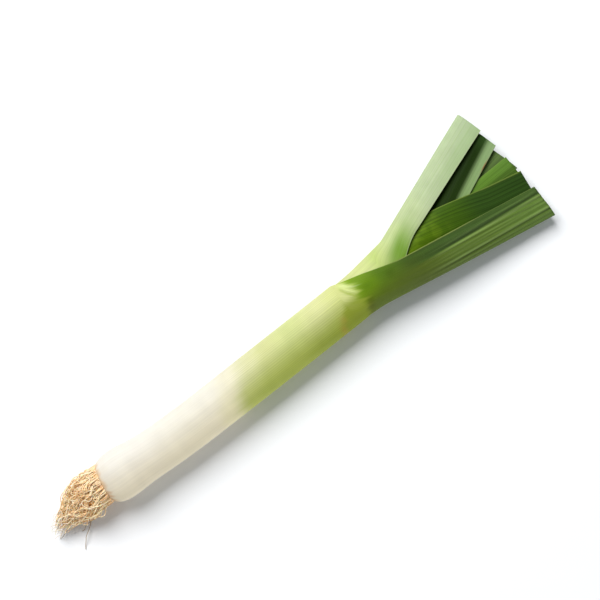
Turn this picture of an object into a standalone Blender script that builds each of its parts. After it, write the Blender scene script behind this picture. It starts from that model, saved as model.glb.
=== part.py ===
"""A leek lying on a flat surface, trimmed straight across the leaves, with its roots on.

Metres, +Z up. +X runs along the shaft from the roots to the leaves, and +Y is to its left.
The origin is on the strip that the shaft rests on. Each leaf is one loft: a round sheath
that opens on one side into a blade folded along its keel. The leaves take turns, keel to
the right and keel to the left, and each sheath stands in the one outside it.
"""

import math
import random
from dataclasses import dataclass

import bmesh
import bpy
import numpy as np

# Driving dimensions, in metres. Distances along the leek count from the root plate.
SHAFT_RADIUS = 0.0190
SHAFT_SIDES = 26
ORIGIN_FROM_PLATE = 0.120
CUT_FROM_PLATE = 0.414
BULGE = 0.0019
BULGE_PLACE = 0.0135
BULGE_LENGTH = 0.016
SHOULDER_DROP = 0.0042
SHOULDER_LENGTH = 0.0035

# The shaft isn't quite straight: it swings to the right behind its root end and slowly comes
# back. BOW_BACK places the axis over the origin.
BOW_SWING = 0.0054
BOW_PLACE = 0.014
BOW_LENGTH = 0.032
BOW_RETURN = 0.0075
BOW_END = 0.250
BOW_BACK = 0.00135

# The root end faces a little to the left: it is set back, tilted, and moved to that side.
BASE_SET_BACK = 0.0029
BASE_TILT = 0.178
BASE_TILT_LENGTH = 0.012
BASE_SHIFT = 0.0036
BASE_SHIFT_LENGTH = 0.006

LEAF_THICKNESS = 0.0009
CLEARANCE = 0.0004
FAN_LEAN = 0.046
FAN_LEAN_START = 0.250
FAN_LEAN_LENGTH = 0.012
LEAD_START = 0.252
LEAD_LENGTH = 0.008
FLATTEN_START = 0.292
FLATTEN_END = 0.420
FLATTEN_SHARE = 0.36
SETTLE_SHARE = 0.94
MOUTH_STRETCH = 0.6
PLEAT_DEPTH = 0.00022
PLEAT_FADE = 0.060
GROOVE_PLACE = 0.77
GROOVE_WIDTH = 0.13
GROOVE_START = 0.282
GROOVE_FADE = 0.050

# The shaft's lowest facet lies on the surface, so the axis is this far above it.
AXIS_HEIGHT = SHAFT_RADIUS * math.cos(math.pi / SHAFT_SIDES)

PLATE_RADIUS = 0.0154
PLATE_THICKNESS = 0.0032
PLATE_GAP = 0.0003
TUFT_RADIUS = 0.0160
TUFT_LENGTH = 0.052
TUFT_SWAY = 0.0036
TUFT_SWAY_LENGTH = 0.045
TUFT_DROP = 0.009
ROOT_COUNT = 82
ROOT_RADIUS = 0.00060
ROOT_TIP_SHARE = 0.5
ROOT_STEPS = 8
ROOT_SEED = 7
MAT_RADIUS = 0.0122
MAT_TIP_RADIUS = 0.0044
MAT_LENGTH = 0.034
MAT_DROP = 0.0015

# Roots that stray from the tuft: where round the plate they start, in degrees up from the left,
# how long they are, and how far to the left they end up beside the tuft. They leave it at
# this share of their length, swiftly at first.
STRAY_FROM = 0.45
STRAY_POWER = 0.7
STRAYS = [(205, 0.050, -0.024), (228, 0.043, -0.012), (186, 0.060, -0.002), (150, 0.058, 0.004)]


@dataclass
class Leaf:
    """One leaf. side is -1 for a keel on the right of the fan, +1 for one on the left.

    The keel leaves the sheath's radius by the slope lead from LEAD_START, and by slope more from
    bend. width is the blade's, from keel to margin, at the cut, and taper what it loses per metre
    before it.
    groove is the depth of the crease that runs along each half of the blade. cut is where the
    line of the cut crosses the shaft's axis, and skew how far it runs on per metre to the left.
    """

    name: str
    side: int
    radius: float
    base: float
    floor: float
    mouth: float
    opening: float
    bend: float
    bend_length: float
    lead: float
    slope: float
    width: float
    taper: float
    groove: float
    cut: float
    skew: float
    sides: int
    blade_rows: int


LEAVES = [
    Leaf("shaft_with_outer_leaf", -1, SHAFT_RADIUS, 0.0, 0.216, 0.236, 0.060, 0.256, 0.010, 0.0, 0.226,
         0.0285, 0.009, 0.0013, 0.4117, -0.037, SHAFT_SIDES, 13),
    Leaf("leaf_2", 1, 0.0175, 0.216, 0.250, 0.276, 0.040, 0.2895, 0.003, 0.075, 0.258,
         0.0238, 0.036, 0.0, 0.4164, -0.215, 22, 12),
    Leaf("leaf_3", -1, 0.0153, 0.250, 0.284, 0.310, 0.075, 0.286, 0.008, 0.0, 0.202,
         0.0313, -0.066, 0.0003, 0.4118, 0.09, 18, 9),
    Leaf("leaf_4", 1, 0.0132, 0.284, 0.294, 0.306, 0.030, 0.326, 0.010, 0.0, 0.411,
         0.0286, 0.026, 0.0, 0.4156, -0.232, 18, 9),
    Leaf("leaf_5", -1, 0.0110, 0.294, 0.306, 0.318, 0.030, 0.336, 0.008, 0.0, 0.184,
         0.0320, 0.158, 0.0, 0.4101, -0.03, 14, 8),
    Leaf("leaf_6", 1, 0.0082, 0.306, 0.326, 0.336, 0.030, 0.340, 0.008, 0.0, 0.241,
         0.0320, 0.22, 0.0, 0.4126, -0.25, 14, 8),
]

# Colours as linear RGB, with roughness.
MATERIALS = {
    "shaft": ((0.80, 0.80, 0.55), 0.42),
    "pale_leaf": ((0.45, 0.62, 0.30), 0.48),
    "dark_leaf": ((0.07, 0.16, 0.035), 0.46),
    "green_leaf": ((0.16, 0.31, 0.07), 0.46),
    "roots": ((0.66, 0.45, 0.22), 0.80),
}


def ramp(distance, length):
    """0 before -length, distance itself after +length, and a parabola in between."""
    bent = (distance + length) ** 2 / (4 * length)
    return np.where(distance < -length, 0.0, np.where(distance > length, distance, bent))


def smooth_step(share):
    """0 to 1 with level ends."""
    share = np.clip(share, 0.0, 1.0)
    return share * share * (3 - 2 * share)


def shaft_swell(along):
    """How far the shaft stands outside its plain radius: a bulge by the roots, less the shoulder."""
    bulge = BULGE * np.exp(-(((along - BULGE_PLACE) / BULGE_LENGTH) ** 2))
    return bulge - SHOULDER_DROP * np.exp(-along / SHOULDER_LENGTH)


def centre_line(along):
    """How far to the left the middle of the leek lies."""
    swing = BOW_SWING / (1 + ((along - BOW_PLACE) / BOW_LENGTH) ** 2)
    bow = swing + BOW_RETURN * np.minimum(along, BOW_END) - BOW_BACK
    root_end = BASE_SHIFT * np.exp(-along / BASE_SHIFT_LENGTH)
    return bow + root_end + FAN_LEAN * ramp(along - FAN_LEAN_START, FAN_LEAN_LENGTH)


def base_set(y):
    """How far ahead of the plain root end the tilted one lies, at y to the left of the axis."""
    return BASE_TILT * y - BASE_SET_BACK


def leaf_points(leaf, along, across, inset):
    """Points of a leaf's skin, moved inwards by inset.

    across runs from -1 at the lower margin, through 0 at the keel, to +1 at the upper one.
    A section is an arc about the centre of the fan. Its keel side is a quarter ellipse that
    reaches out to the keel, its other side a rounder one, cut off at the margin.
    """
    opened = 1 - (1 - np.clip((along - leaf.mouth) / leaf.opening, 0, 1)) ** 2
    sheath = leaf.radius + (shaft_swell(along) if leaf.base == 0 else 0)
    keel = sheath + leaf.slope * ramp(along - leaf.bend, leaf.bend_length)
    keel = keel + leaf.lead * ramp(along - LEAD_START, LEAD_LENGTH)
    far = sheath * (1 + MOUTH_STRETCH * opened)
    width = leaf.width - leaf.taper * (CUT_FROM_PLATE - along)
    margin = -sheath + opened * (keel + sheath - width)
    reach = np.arccos(np.clip(margin / np.where(margin > 0, keel, far), -1, 1))
    reach = np.where(opened <= 0, math.pi, reach)
    flat = smooth_step((along - FLATTEN_START) / (FLATTEN_END - FLATTEN_START)) * FLATTEN_SHARE
    half_height = sheath * (1 - flat)

    angle = across * reach
    cosine, sine = np.cos(angle), np.sin(angle)
    half_width = np.where(cosine > 0, keel, far)
    normal = np.stack([cosine / half_width, sine / half_height])
    normal /= np.hypot(normal[0], normal[1])
    blade = smooth_step((along - leaf.mouth) / PLEAT_FADE)
    pleat = np.where(np.arange(across.shape[1]) % 2 == 0, 1, -1) * PLEAT_DEPTH * blade
    grooved = smooth_step((along - GROOVE_START) / GROOVE_FADE) * leaf.groove
    groove = grooved * np.exp(-(((np.abs(across) - GROOVE_PLACE) / GROOVE_WIDTH) ** 2))
    depth = inset + pleat + groove
    aside = half_width * cosine - depth * normal[0]
    rise = half_height * sine
    up = np.sign(sine) * np.maximum(np.abs(rise) - depth * np.abs(normal[1]), 0.2 * np.abs(rise))
    settled = SETTLE_SHARE * SHAFT_RADIUS * flat
    y = centre_line(along) + leaf.side * aside
    x = along - ORIGIN_FROM_PLATE + 0 * angle
    if leaf.base == 0:
        x = x + base_set(y) * np.exp(-along / BASE_TILT_LENGTH)
    z = np.maximum(AXIS_HEIGHT + up - settled, 0.0)
    return np.stack([x, y, z], axis=-1)


def cut_distance(leaf, across):
    """Where each lengthwise line of a leaf ends, on the straight line of its own cut."""
    at_cut = np.full_like(across, CUT_FROM_PLATE)
    sideways = leaf_points(leaf, at_cut, across, 0.0)[..., 1]
    return leaf.cut + leaf.skew * sideways


def sheath_rows(leaf):
    """Distances of a leaf's rows up to the mouth of its sheath. The outer leaf's make the shaft."""
    if leaf.base == 0:
        return [0.0, 0.0016, 0.004, 0.008, 0.014, 0.020, 0.028, 0.038, 0.050, 0.068, 0.090, 0.120, 0.170]
    return [leaf.base]


def leaf_grid(leaf, inset, first_closed):
    """Rows of points from the closed sheath rows given to the cut. Returns them and the mouth's row."""
    last = first_closed[-1]
    closed = first_closed + [(last + leaf.mouth) / 2, leaf.mouth]
    mouth_row = len(closed) - 1
    across = np.linspace(-1.0, 1.0, leaf.sides + 1)[None, :]
    cut = cut_distance(leaf, across)
    share = (np.arange(1, leaf.blade_rows + 1) / leaf.blade_rows)[:, None] ** 1.35
    blade = leaf.mouth + share * (cut - leaf.mouth)
    rows = np.concatenate([np.array(closed)[:, None] + 0 * across, blade])
    return leaf_points(leaf, rows, across + 0 * rows, inset), mouth_row


def number_points(points, mouth_row, verts):
    """Adds the points to verts. In the closed rows the last column is the first one again."""
    numbers = []
    for row, line in enumerate(points):
        closed = row <= mouth_row
        start = len(verts)
        kept = line[:-1] if closed else line
        verts.extend(tuple(point) for point in kept)
        ids = list(range(start, start + len(kept)))
        numbers.append(ids + ids[:1] if closed else ids)
    return numbers


def strip(first, second):
    """Triangles between two lines of points. The two halves are split as each other's mirror."""
    faces = []
    count = len(first) - 1
    for k in range(count):
        if 2 * k < count:
            faces.append((first[k], first[k + 1], second[k]))
            faces.append((first[k + 1], second[k + 1], second[k]))
        else:
            faces.append((first[k], first[k + 1], second[k + 1]))
            faces.append((first[k], second[k + 1], second[k]))
    return faces


def make_leaf(leaf, material, collection):
    """One closed leaf: outer and inner skin, margins, cut end, solid foot and socket floor."""
    verts, faces = [], []
    outer, mouth = leaf_grid(leaf, 0.0, sheath_rows(leaf))
    inner, inner_mouth = leaf_grid(leaf, LEAF_THICKNESS, [leaf.floor - CLEARANCE])
    out_ids = number_points(outer, mouth, verts)
    in_ids = number_points(inner, inner_mouth, verts)
    for skin in (out_ids, in_ids):
        for row, following in zip(skin, skin[1:]):
            faces += strip(row, following)
    faces.append(tuple(out_ids[0][:-1]))
    faces.append(tuple(in_ids[0][:-1]))
    for edge in (0, -1):
        out_margin = [line[edge] for line in out_ids[mouth:]]
        in_margin = [line[edge] for line in in_ids[inner_mouth:]]
        faces += strip(out_margin, in_margin)
    faces += strip(out_ids[-1], in_ids[-1])

    mesh = bpy.data.meshes.new(leaf.name)
    mesh.from_pydata(verts, [], faces)
    work = bmesh.new()
    work.from_mesh(mesh)
    bmesh.ops.recalc_face_normals(work, faces=work.faces)
    work.to_mesh(mesh)
    work.free()
    mesh.shade_smooth()
    mesh.set_sharp_from_angle(angle=math.radians(35))
    mesh.materials.append(material)
    leaf_object = bpy.data.objects.new(leaf.name, mesh)
    collection.objects.link(leaf_object)
    return leaf_object


def make_plate(material, collection):
    """The root plate: a disc with rounded edges, just behind the shaft's tilted end."""
    turn = math.atan(BASE_TILT)
    back = PLATE_GAP + PLATE_THICKNESS / 2
    middle = float(centre_line(0.0))
    bpy.ops.mesh.primitive_cylinder_add(
        vertices=24, radius=PLATE_RADIUS, depth=PLATE_THICKNESS, end_fill_type="NGON",
        location=(base_set(middle) - ORIGIN_FROM_PLATE - back * math.cos(turn),
                  middle + back * math.sin(turn), AXIS_HEIGHT),
        rotation=(0, math.pi / 2, -turn))
    plate = bpy.context.object
    plate.name = "root_plate_with_roots"
    plate.data.name = plate.name
    plate.data.materials.append(material)
    bevel = plate.modifiers.new("round_edges", "BEVEL")
    bevel.width = 0.0008
    bevel.segments = 2
    move_to(plate, collection)
    return plate


def tuft_section(back):
    """The tuft's section at a distance behind the plate: sideways place, height and radius."""
    aside = float(centre_line(0.0)) - TUFT_SWAY * (back / TUFT_SWAY_LENGTH) ** 3
    height = AXIS_HEIGHT - TUFT_DROP * smooth_step(back / TUFT_LENGTH)
    radius = TUFT_RADIUS * (1 + 0.10 * math.sin(math.pi * back / 0.034))
    return aside, height, radius - 0.007 * smooth_step((back - 0.024) / 0.030)


def root_path(chance, turn, start, length, stray):
    """Centre line of one root, from inside the plate: straight back, then ever more astray.

    start is the distance from the tuft's middle as a share of its radius. Slow waves of chance
    height and phase bend the root, within the tuft's shape, and a stray one leaves it sideways.
    """
    drift = chance.uniform(-0.30, 0.08)
    twist = chance.uniform(-0.8, 0.8)
    phase = [chance.uniform(0, math.tau) for _ in range(3)]
    points = []
    for step in range(ROOT_STEPS + 1):
        t = step / ROOT_STEPS
        back = length * t
        loose = smooth_step((back - 0.007) / 0.018)
        aside, height, radius = tuft_section(back)
        out = radius * (start + drift * loose)
        around = turn + loose * (twist * t + 0.35 * math.sin(5 * t + phase[0]))
        y = aside + out * math.cos(around) + 0.0026 * loose * math.sin(8 * t + phase[1])
        z = height + out * math.sin(around) + 0.0020 * loose * math.sin(7 * t + phase[2])
        swerve = max(0.0, (t - STRAY_FROM) / (1 - STRAY_FROM)) ** STRAY_POWER
        y += stray * swerve
        z -= (z - ROOT_RADIUS) * (swerve if stray else 0)
        x = base_set(y) * math.exp(-back / BASE_TILT_LENGTH) - PLATE_GAP - 0.5 * PLATE_THICKNESS - back
        points.append((x - ORIGIN_FROM_PLATE, y, max(z, 1.5 * ROOT_RADIUS)))
    return points


def root_paths():
    """Every root's centre line. They start in rings by the golden angle, and the strays come last."""
    chance = random.Random(ROOT_SEED)
    paths = []
    for number in range(ROOT_COUNT):
        share = (number + 0.5) / ROOT_COUNT
        turn = number * math.pi * (3 - math.sqrt(5))
        length = TUFT_LENGTH * chance.uniform(0.60, 1.0)
        paths.append(root_path(chance, turn, 0.93 * math.sqrt(share), length, 0.0))
    for turn, length, stray in STRAYS:
        paths.append(root_path(chance, math.radians(turn), 0.80, length, stray))
    return paths


def make_root(points, name, collection):
    """A tapered, four-sided tube along the points, as a closed mesh."""
    curve = bpy.data.curves.new(name, "CURVE")
    curve.dimensions = "3D"
    curve.bevel_depth = ROOT_RADIUS
    curve.bevel_resolution = 0
    curve.use_fill_caps = True
    spline = curve.splines.new("POLY")
    spline.points.add(len(points) - 1)
    for k, (point, place) in enumerate(zip(spline.points, points)):
        point.co = (*place, 1.0)
        point.radius = 1.25 - (1.25 - ROOT_TIP_SHARE) * k / (len(points) - 1)
    guide = bpy.data.objects.new(name, curve)
    bpy.context.scene.collection.objects.link(guide)
    graph = bpy.context.evaluated_depsgraph_get()
    mesh = bpy.data.meshes.new_from_object(guide.evaluated_get(graph))
    work = bmesh.new()
    work.from_mesh(mesh)
    bmesh.ops.remove_doubles(work, verts=work.verts, dist=1e-6)
    bmesh.ops.recalc_face_normals(work, faces=work.faces)
    work.to_mesh(mesh)
    work.free()
    root = bpy.data.objects.new(name, mesh)
    root.matrix_world = guide.matrix_world
    collection.objects.link(root)
    bpy.data.objects.remove(guide)
    return root


def make_mat(collection):
    """The knot of root stubs that the roots stand out of: a blunt cone, sunk in the plate's back."""
    turn = math.atan(BASE_TILT) / 2
    back = PLATE_GAP + 0.65 * PLATE_THICKNESS + MAT_LENGTH / 2
    middle = float(centre_line(0.0))
    bpy.ops.mesh.primitive_cone_add(
        vertices=12, radius1=MAT_RADIUS, radius2=MAT_TIP_RADIUS, depth=MAT_LENGTH,
        end_fill_type="NGON", rotation=(0, -math.pi / 2, -turn),
        location=(base_set(middle) - ORIGIN_FROM_PLATE - back * math.cos(turn),
                  middle + back * math.sin(turn), AXIS_HEIGHT - MAT_DROP))
    mat = bpy.context.object
    mat.name = "root_mat"
    move_to(mat, collection)
    return mat


def make_roots(material, collection):
    """The root plate with every root joined to it in one body."""
    plate = make_plate(material, collection)
    strands = new_collection("root_strands")
    make_mat(strands)
    for number, path in enumerate(root_paths()):
        make_root(path, f"root_{number:02d}", strands)
    union = plate.modifiers.new("join_roots", "BOOLEAN")
    union.operation = "UNION"
    union.operand_type = "COLLECTION"
    union.collection = strands
    union.solver = "MANIFOLD"
    bake_modifiers(plate)
    for strand in list(strands.objects):
        bpy.data.objects.remove(strand)
    bpy.data.collections.remove(strands)
    return plate


def bake_modifiers(target):
    """Puts the evaluated mesh in place of the modifiers."""
    bpy.context.view_layer.update()
    graph = bpy.context.evaluated_depsgraph_get()
    target.data = bpy.data.meshes.new_from_object(target.evaluated_get(graph))
    target.modifiers.clear()


def new_collection(name):
    made = bpy.data.collections.new(name)
    bpy.context.scene.collection.children.link(made)
    return made


def move_to(target, collection):
    """Takes an object out of the collections it is in, and puts it in this one."""
    for holder in list(target.users_collection):
        holder.objects.unlink(target)
    collection.objects.link(target)


def make_material(name):
    colour, roughness = MATERIALS[name]
    material = bpy.data.materials.new(name)
    material.use_nodes = True
    shader = material.node_tree.nodes["Principled BSDF"]
    shader.inputs["Base Color"].default_value = (*colour, 1.0)
    shader.inputs["Roughness"].default_value = roughness
    shader.inputs["Metallic"].default_value = 0.0
    return material


def main():
    for old in list(bpy.data.objects):
        bpy.data.objects.remove(old)
    leek = new_collection("leek")
    materials = {name: make_material(name) for name in MATERIALS}
    worn = ["shaft", "pale_leaf", "dark_leaf", "pale_leaf", "green_leaf", "green_leaf"]
    for leaf, material in zip(LEAVES, worn):
        make_leaf(leaf, materials[material], leek)
    make_roots(materials["roots"], leek)


main()
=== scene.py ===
import math
import random

import bmesh
import bpy
import numpy as np
from mathutils import Matrix, Vector


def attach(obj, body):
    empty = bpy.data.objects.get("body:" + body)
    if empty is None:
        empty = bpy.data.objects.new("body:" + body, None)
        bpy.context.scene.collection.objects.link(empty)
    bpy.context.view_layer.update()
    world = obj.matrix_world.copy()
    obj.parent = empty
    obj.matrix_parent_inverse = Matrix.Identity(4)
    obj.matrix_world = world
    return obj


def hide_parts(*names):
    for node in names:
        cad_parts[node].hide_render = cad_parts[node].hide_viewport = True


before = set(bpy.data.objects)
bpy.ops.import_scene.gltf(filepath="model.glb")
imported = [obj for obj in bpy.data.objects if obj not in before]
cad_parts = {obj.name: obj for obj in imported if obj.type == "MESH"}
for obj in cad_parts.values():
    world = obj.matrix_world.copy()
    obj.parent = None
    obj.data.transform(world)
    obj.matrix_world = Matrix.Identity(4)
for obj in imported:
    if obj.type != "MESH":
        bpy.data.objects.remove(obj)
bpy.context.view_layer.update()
print("read the frame")

# The leek's plan, in metres. Distances along it count from the root plate.
plan = {
    "radius": 0.0190, "sides": 26, "origin": 0.120, "cut": 0.414,
    "bulge": 0.0019, "bulgePlace": 0.0135, "bulgeLength": 0.016,
    "shoulderDrop": 0.0042, "shoulderLength": 0.0035,
    "baseSetBack": 0.0029, "baseTilt": 0.178, "baseTiltLength": 0.012,
    "baseShift": 0.0036, "baseShiftLength": 0.006,
    "bowSwing": 0.0054, "bowPlace": 0.014, "bowLength": 0.032,
    "bowReturn": 0.0075, "bowEnd": 0.250, "bowBack": 0.00135,
    "thickness": 0.0009, "clearance": 0.0004,
    "lean": 0.046, "leanStart": 0.250, "leanLength": 0.012,
    "leadStart": 0.252, "leadLength": 0.008, "aside": 0.00335,
    "flatStart": 0.292, "flatEnd": 0.420, "flatShare": 0.36, "settle": 0.94,
    "mouthStretch": 0.6, "pleatFade": 0.060,
    "groovePlace": 0.77, "grooveWidth": 0.13, "grooveStart": 0.282, "grooveFade": 0.050,
}
plan["axisHeight"] = plan["radius"] * math.cos(math.pi / plan["sides"])

# One dictionary for each leaf: its form, then how fine its mesh is, then its skin.
leaves = [
    {"node": "shaft_with_outer_leaf", "piece": "outer_leaf", "slot": "shaft", "side": -1,
     "radius": 0.0190, "base": 0.0, "floor": 0.216, "mouth": 0.236, "opening": 0.060,
     "bend": 0.256, "bendLength": 0.010, "lead": 0.0, "slope": 0.226, "width": 0.0285, "taper": 0.009,
     "cut": 0.4117, "skew": -0.037, "groove": 0.0013, "pleat": 0.00006, "pleats": 7.4, "veins": 36,
     "ridges": [(0.528, 0.030, 0.00040), (0.815, 0.026, 0.00045), (0.715, 0.020, 0.00016),
                (0.650, 0.018, 0.00014), (0.460, 0.028, -0.00026), (0.875, 0.022, -0.00022),
                (0.925, 0.018, 0.00012), (0.380, 0.020, 0.00010), (0.300, 0.022, -0.00012)],
     "columns": 300, "sheathRows": 84, "bladeRows": 92, "seed": 3,
     "streakMix": 0.05, "veinMix": 0.05, "veinColour": (0.62, 0.66, 0.30, 1.0),
     "rough": 0.42, "soft": 0.10, "softReach": (1.0, 0.9, 0.5), "gloss": 0.05},
    {"node": "leaf_2", "piece": "second_leaf", "slot": "pale_leaf", "side": 1,
     "radius": 0.0175, "base": 0.216, "floor": 0.250, "mouth": 0.276, "opening": 0.040,
     "bend": 0.2895, "bendLength": 0.003, "lead": 0.075, "slope": 0.258, "width": 0.0238, "taper": 0.036,
     "cut": 0.4164, "skew": -0.215, "groove": 0.0, "pleat": 0.00004, "pleats": 5.6, "veins": 24,
     "ridges": [(0.45, 0.05, 0.00010), (0.70, 0.03, -0.00010)],
     "columns": 260, "sheathRows": 24, "bladeRows": 110, "seed": 5,
     "streakMix": 0.05, "veinMix": 0.08, "veinColour": (0.50, 0.62, 0.36, 1.0),
     "rough": 0.52, "soft": 0.05, "softReach": (0.6, 1.0, 0.3), "gloss": 0.05},
    {"node": "leaf_3", "piece": "third_leaf", "slot": "dark_leaf", "side": -1,
     "radius": 0.0153, "base": 0.250, "floor": 0.284, "mouth": 0.310, "opening": 0.075,
     "bend": 0.286, "bendLength": 0.008, "lead": 0.0, "slope": 0.202, "width": 0.0313, "taper": -0.066,
     "cut": 0.4118, "skew": 0.09, "groove": 0.0003, "pleat": 0.00012, "pleats": 6.3, "veins": 20,
     "ridges": [],
     "columns": 220, "sheathRows": 14, "bladeRows": 100, "seed": 8,
     "streakMix": 0.14, "veinMix": 0.05, "veinColour": (0.16, 0.26, 0.06, 1.0),
     "rough": 0.48, "soft": 0.03, "softReach": (0.5, 1.0, 0.2), "gloss": 0.04},
    {"node": "leaf_4", "piece": "fourth_leaf", "slot": "pale_leaf", "side": 1,
     "radius": 0.0132, "base": 0.284, "floor": 0.294, "mouth": 0.306, "opening": 0.030,
     "bend": 0.326, "bendLength": 0.010, "lead": 0.0, "slope": 0.411, "width": 0.0286, "taper": 0.026,
     "cut": 0.4156, "skew": -0.232, "groove": 0.0, "pleat": 0.00010, "pleats": 5.2, "veins": 20,
     "ridges": [],
     "columns": 220, "sheathRows": 10, "bladeRows": 90, "seed": 13,
     "streakMix": 0.08, "veinMix": 0.015, "veinColour": (0.40, 0.52, 0.28, 1.0),
     "rough": 0.50, "soft": 0.04, "softReach": (0.6, 1.0, 0.3), "gloss": 0.04},
    {"node": "leaf_5", "piece": "fifth_leaf", "slot": "green_leaf", "side": -1,
     "radius": 0.0110, "base": 0.294, "floor": 0.306, "mouth": 0.318, "opening": 0.030,
     "bend": 0.336, "bendLength": 0.008, "lead": 0.0, "slope": 0.184, "width": 0.0320, "taper": 0.158,
     "cut": 0.4101, "skew": -0.03, "groove": 0.0, "pleat": 0.00012, "pleats": 5.0, "veins": 18,
     "ridges": [],
     "columns": 200, "sheathRows": 10, "bladeRows": 80, "seed": 21,
     "streakMix": 0.12, "veinMix": 0.06, "veinColour": (0.26, 0.38, 0.10, 1.0),
     "rough": 0.48, "soft": 0.04, "softReach": (0.5, 1.0, 0.2), "gloss": 0.04},
    {"node": "leaf_6", "piece": "sixth_leaf", "slot": "green_leaf", "side": 1,
     "radius": 0.0082, "base": 0.306, "floor": 0.326, "mouth": 0.336, "opening": 0.030,
     "bend": 0.340, "bendLength": 0.008, "lead": 0.0, "slope": 0.241, "width": 0.0320, "taper": 0.22,
     "cut": 0.4126, "skew": -0.25, "groove": 0.0, "pleat": 0.00010, "pleats": 4.4, "veins": 16,
     "ridges": [],
     "columns": 180, "sheathRows": 10, "bladeRows": 80, "seed": 34,
     "streakMix": 0.12, "veinMix": 0.06, "veinColour": (0.22, 0.34, 0.14, 1.0),
     "rough": 0.48, "soft": 0.04, "softReach": (0.5, 1.0, 0.2), "gloss": 0.04},
]
leafShare = 0.84  # how much of the painted leaf colours' brightness is kept


# A colour given as it shows on a screen, 0 to 255, in linear light.
def linear(red, green, blue):
    shown = np.array([red, green, blue], dtype=float) / 255
    return np.where(shown < 0.04045, shown / 12.92, ((shown + 0.055) / 1.055) ** 2.4)


# A bend: 0 up to a length before the place, a parabola across it, then a straight rise.
def ramp(distance, length):
    bent = (distance + length) ** 2 / (4 * length)
    return np.where(distance < -length, 0.0, np.where(distance > length, distance, bent))


# A share eased at both ends: 3 s^2 - 2 s^3, with s held between 0 and 1.
def smoothStep(share):
    share = np.clip(share, 0.0, 1.0)
    return share * share * (3 - 2 * share)


# Rises smoothly from 0 at the start to 1 a length further on.
def fadeIn(value, start, length):
    return smoothStep((value - start) / length)


# Falls smoothly from 1 a length before the end to 0 at the end.
def fadeOut(value, end, length):
    return smoothStep((end - value) / length)


# Straight mix of two colours, or two sets of them, by a share for each point.
def mix(first, second, share):
    share = np.asarray(share)[..., None]
    return first * (1 - share) + second * share


# A hump of height 1 round a place.
def bump(value, place, width):
    return np.exp(-(((value - place) / width) ** 2))


# How much thicker than plain the shaft is: a hump by the roots, less a rounding at its end.
def shaftSwell(along):
    bulge = plan["bulge"] * bump(along, plan["bulgePlace"], plan["bulgeLength"])
    return bulge - plan["shoulderDrop"] * np.exp(-along / plan["shoulderLength"])


# How far to the left the middle of the leek lies.
def centreLine(along):
    swing = plan["bowSwing"] / (1 + ((along - plan["bowPlace"]) / plan["bowLength"]) ** 2)
    bow = swing + plan["bowReturn"] * np.minimum(along, plan["bowEnd"]) - plan["bowBack"]
    rootEnd = plan["baseShift"] * np.exp(-along / plan["baseShiftLength"])
    return bow + rootEnd + plan["lean"] * ramp(along - plan["leanStart"], plan["leanLength"])


# How far ahead of a plain root end the tilted one lies, at y to the left of the axis.
def baseSet(y):
    return plan["baseTilt"] * y - plan["baseSetBack"]


# A smooth field of about -1 to 1: a few slow sines of chance length, tilt and phase.
def wander(along, across, seed):
    waves = 5
    chance = np.random.default_rng(seed)
    total = np.zeros(np.broadcast(along, across).shape)
    for k in range(waves):
        lengthwise = chance.uniform(14, 60)
        sideways = chance.uniform(3, 15)
        total += np.sin(lengthwise * along + sideways * across + chance.uniform(0, math.tau))
    return total / math.sqrt(waves)


# The creases where the outer leaf leaves the shaft: where each runs along at a place sideways, the
# sideways span it keeps to, its width and height, and for some a patch of colour with its strength:
# paler on the raised creases and darker on the sunken one with a patch, as painted highlight and shade.
creases = [
    {"aside": [-0.001, 0.004, 0.008, 0.0135], "along": [0.2500, 0.2455, 0.2425, 0.2405],
     "span": (-0.002, 0.015), "width": 0.0013, "height": 0.00030, "patch": (linear(216, 230, 150), 0.60)},
    {"aside": [-0.004, 0.003, 0.008, 0.014], "along": [0.2480, 0.2430, 0.2405, 0.2390],
     "span": (-0.006, 0.012), "width": 0.0012, "height": -0.00022, "patch": (linear(150, 170, 56), 0.55)},
    {"aside": [0.0025, 0.005, 0.008, 0.013], "along": [0.2560, 0.2495, 0.2455, 0.2425],
     "span": (0.002, 0.014), "width": 0.0015, "height": 0.00030, "patch": (linear(220, 234, 160), 0.65)},
    {"aside": [-0.0215, -0.0106, -0.004], "along": [0.2476, 0.2516, 0.2465],
     "span": (-0.025, -0.003), "width": 0.0014, "height": -0.00018},
]


# How near a point lies to a crease, from 0 to 1: a hump across its line, faded at the span's ends.
def onCrease(crease, along, aside):
    low, high = crease["span"]
    within = fadeIn(aside, low, 0.004) * fadeOut(aside, high, 0.004)
    return bump(along, np.interp(aside, crease["aside"], crease["along"]), crease["width"]) * within


# What all the leaves' skins share: pleats, veins, slow waves and ridges, and how rows are spaced.
surface = {
    "unevenRate": 2.3, "pleatSway": 0.9, "pleatEnd": 0.74, "pleatEndFade": 0.12,
    "veinHeight": 0.000022, "veinSway": 2.0, "veinOnSheath": 0.4, "veinGain": 0.6,
    "slowOnSheath": 0.00006, "slowGain": 0.00010, "slowStart": 0.02,
    "drift": 1.15, "driftFrom": 0.400, "ridgeStart": 0.312, "ridgeFade": 0.04,
    "leastRise": 0.2, "shaftSpacing": 1.5, "bladeSpacing": 1.2,
}


# How far the ridges and bands drift towards the margin, in shares of the half width, along a blade.
def ridgeDrift(along):
    return surface["drift"] * (along - surface["driftFrom"])


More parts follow.
